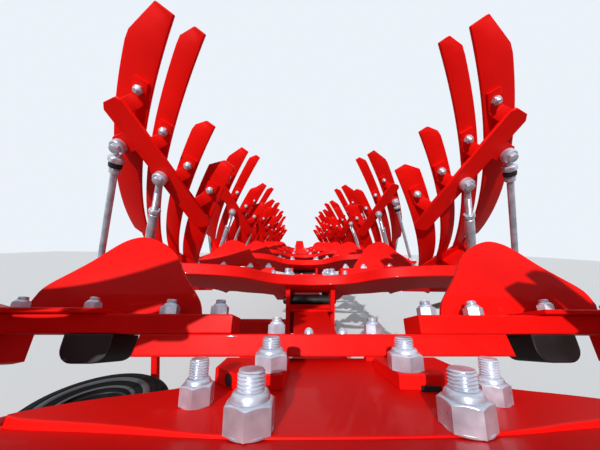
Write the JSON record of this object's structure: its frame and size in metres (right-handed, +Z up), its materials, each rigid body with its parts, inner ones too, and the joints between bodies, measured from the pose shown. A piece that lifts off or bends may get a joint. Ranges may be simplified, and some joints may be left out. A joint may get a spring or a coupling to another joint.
{
  "type": "reversible moldboard plough",
  "caption": "Semi-mounted reversible plough, half turned for parking, with slatted bodies on a square beam, skimmers, depth wheel, headstock and a two-wheel rear carriage.",
  "frame": {"origin": "on the ground, under the middle of the machine's length and width", "axes": "+X to the right of the way it is pulled, +Y the way it is pulled, +Z up"},
  "size_m": [2.0242, 10.1099, 2.1511],
  "materials": {
    "paint": "gloss",
    "zinc": "zinc plated",
    "steel": "ground and worn",
    "cap": "matt black",
    "tyre": "black rubber"
  },
  "bodies": {
    "headstock": {"headstock_frame": "paint", "hitch_shaft": "paint", "turnover_drive": "paint"},
    "stand": {"parking_stand": "zinc"},
    "plough": {"main_beam": "paint", "brackets": "paint", "bracket_pins": "cap", "leg_pairs": "paint", "clamp_blocks": "paint", "crossbars": "paint", "skimmer_arms": "paint", "skimmer_flanges": "paint", "skimmer_boards": "paint", "skimmer_shares": "steel", "frogs": "paint", "landsides": "paint", "shares": "steel", "share_points": "steel", "moldboards_left": "paint", "moldboards_right": "paint", "straps": "paint", "outer_stays": "zinc", "inner_stays": "zinc", "depth_arm": "paint"},
    "depth_wheel": {"depth_tyre": "tyre", "depth_rim": "paint"},
    "carriage": {"carriage_frame": "paint"},
    "lift_cylinder": {"lift_barrel": "paint"},
    "lift_piston": {"lift_rod": "zinc"},
    "arm": {"wheel_arm": "paint"},
    "left_wheel": {"left_tyre": "tyre", "left_rim": "paint"},
    "right_wheel": {"right_tyre": "tyre", "right_rim": "paint"}
  },
  "joints": [
    {"name": "turnover", "type": "hinge", "parent": "headstock", "child": "plough", "pos_m": [0.10286, 4.385, 1.15], "axis": [0, 1, 0], "range_deg": [-90, 90]},
    {"name": "stand_fold", "type": "hinge", "parent": "headstock", "child": "stand", "pos_m": [0.10286, 4.735, 0.62], "axis": [1, 0, 0], "range_deg": [-90, 0]},
    {"name": "carriage_swivel", "type": "hinge", "parent": "plough", "child": "carriage", "pos_m": [0.10286, -3.875, 1.15], "axis": [0, 1, 0], "range_deg": [-90, 90]},
    {"name": "wheel_arm_lift", "type": "hinge", "parent": "carriage", "child": "arm", "pos_m": [0.10286, -4.195, 0.89], "axis": [1, 0, 0], "range_deg": [-20, 0]},
    {"name": "lift_cylinder_tilt", "type": "hinge", "parent": "carriage", "child": "lift_cylinder", "pos_m": [0.10286, -4.055, 1.25], "axis": [1, 0, 0], "range_deg": [-9.5, 0.5]},
    {"name": "lift_piston_slide", "type": "slide", "parent": "lift_cylinder", "child": "lift_piston", "axis": [0, -0.656, -0.7548], "range_m": [-0.06, 0.002]},
    {"name": "left_wheel_spin", "type": "hinge", "parent": "arm", "child": "left_wheel", "pos_m": [-0.33714, -4.615, 0.44], "axis": [1, 0, 0], "continuous": true},
    {"name": "right_wheel_spin", "type": "hinge", "parent": "arm", "child": "right_wheel", "pos_m": [0.54286, -4.615, 0.44], "axis": [1, 0, 0], "continuous": true},
    {"name": "depth_wheel_spin", "type": "hinge", "parent": "plough", "child": "depth_wheel", "pos_m": [-0.74214, -2.015, 0.825], "axis": [0, 0, 1], "continuous": true}
  ],
  "couplings": [
    {"joint": "carriage_swivel", "follows": "turnover", "ratio": -1},
    {"joint": "lift_cylinder_tilt", "follows": "wheel_arm_lift", "ratio": 0.444},
    {"joint": "lift_piston_slide", "follows": "wheel_arm_lift", "m_per_rad": 0.158}
  ]
}
